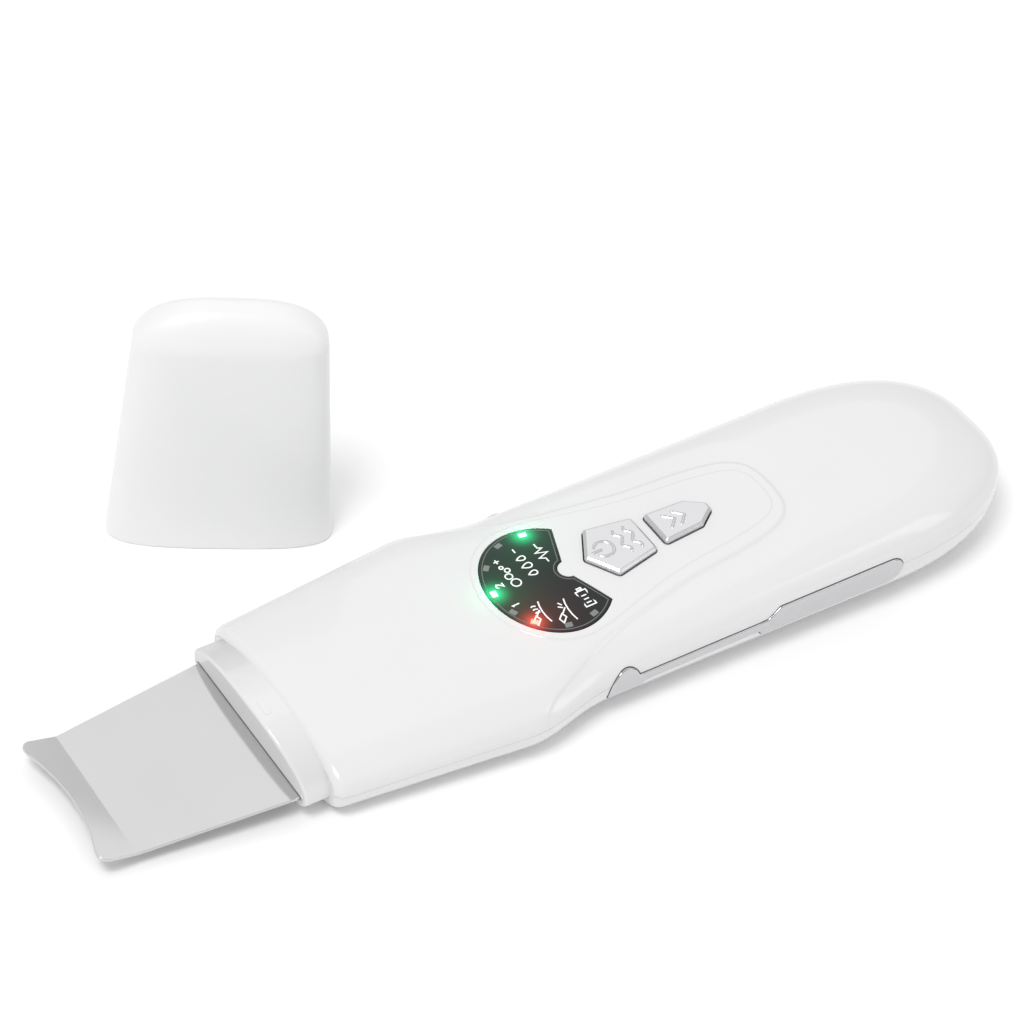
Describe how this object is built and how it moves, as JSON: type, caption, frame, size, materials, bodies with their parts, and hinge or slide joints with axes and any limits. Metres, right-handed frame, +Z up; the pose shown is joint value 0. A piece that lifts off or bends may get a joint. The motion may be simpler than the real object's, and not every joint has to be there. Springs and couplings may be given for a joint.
{
  "type": "skin scrubber",
  "caption": "Hand-held ultrasonic skin scrubber: white waisted body, flat steel blade with upturned tip, round-lobed display, push buttons, chrome side strips, separate standing cap.",
  "frame": {"origin": "on the flat underside of the lower case, straight below the notch of the display", "axes": "+X along the body toward the rounded tail, the blade points to -X; +Z up, out of the control panel; +Y across, toward the standing cap"},
  "size_m": [0.1987, 0.0909, 0.0544],
  "materials": {
    "white_shell": "glossy moulded white plastic",
    "white_cap": "satin gloss moulded white plastic",
    "blade_steel": "fine brushed stainless steel",
    "seal_rubber": "matt black rubber",
    "horn_aluminium": "turned aluminium",
    "piezo_ceramic": "silvered grey ceramic",
    "copper_tab": "thin spring copper",
    "turned_steel": "turned zinc-plated steel",
    "display_glass": "smoked polished acrylic",
    "dark_plastic": "black moulded plastic",
    "led_body": "clear epoxy over a chip",
    "circuit_board": "green solder mask on fibreglass",
    "chrome_trim": "polished chrome plating on plastic",
    "battery_wrap": "silver pouch foil",
    "red_lead": "red silicone insulation",
    "white_lead": "white silicone insulation",
    "ferrite": "dark ferrite with copper winding",
    "port_steel": "nickel-plated steel shell with a black tongue"
  },
  "bodies": {
    "handset": {"upper_case": "white_shell", "lower_case": "white_shell", "collar": "white_shell", "blade": "blade_steel", "blade_seal": "seal_rubber", "horn": "horn_aluminium", "piezo_rings": "piezo_ceramic", "electrode_tabs": "copper_tab", "back_mass": "turned_steel", "clamp_bolt": "turned_steel", "isolator_rings": "seal_rubber", "display_window": "display_glass", "light_guide": "dark_plastic", "leds": "led_body", "main_board": "circuit_board", "tact_switches": "dark_plastic", "side_electrode_right": "chrome_trim", "side_electrode_left": "chrome_trim", "contact_springs": "copper_tab", "battery": "battery_wrap", "battery_pad": "seal_rubber", "battery_leads": "red_lead", "transducer_leads": "white_lead", "driver_coil": "ferrite", "control_chip": "dark_plastic", "charging_port": "port_steel", "charging_board": "circuit_board", "case_screws": "turned_steel"},
    "power_button": {"power_button": "chrome_trim"},
    "mode_button": {"mode_button": "chrome_trim"},
    "cap": {"cap": "white_cap"}
  },
  "joints": [
    {"name": "power_press", "type": "slide", "parent": "handset", "child": "power_button", "axis": [0, 0, -1], "range_m": [0, 0.0004], "stiffness_N_per_m": 2500, "springref_m": -0.0002},
    {"name": "mode_press", "type": "slide", "parent": "handset", "child": "mode_button", "axis": [0, 0, -1], "range_m": [0, 0.0004], "stiffness_N_per_m": 2500, "springref_m": -0.0002},
    {"name": "cap_lift", "type": "slide", "parent": "handset", "child": "cap", "axis": [0, 0, 1], "range_m": [0, 0.06]}
  ]
}
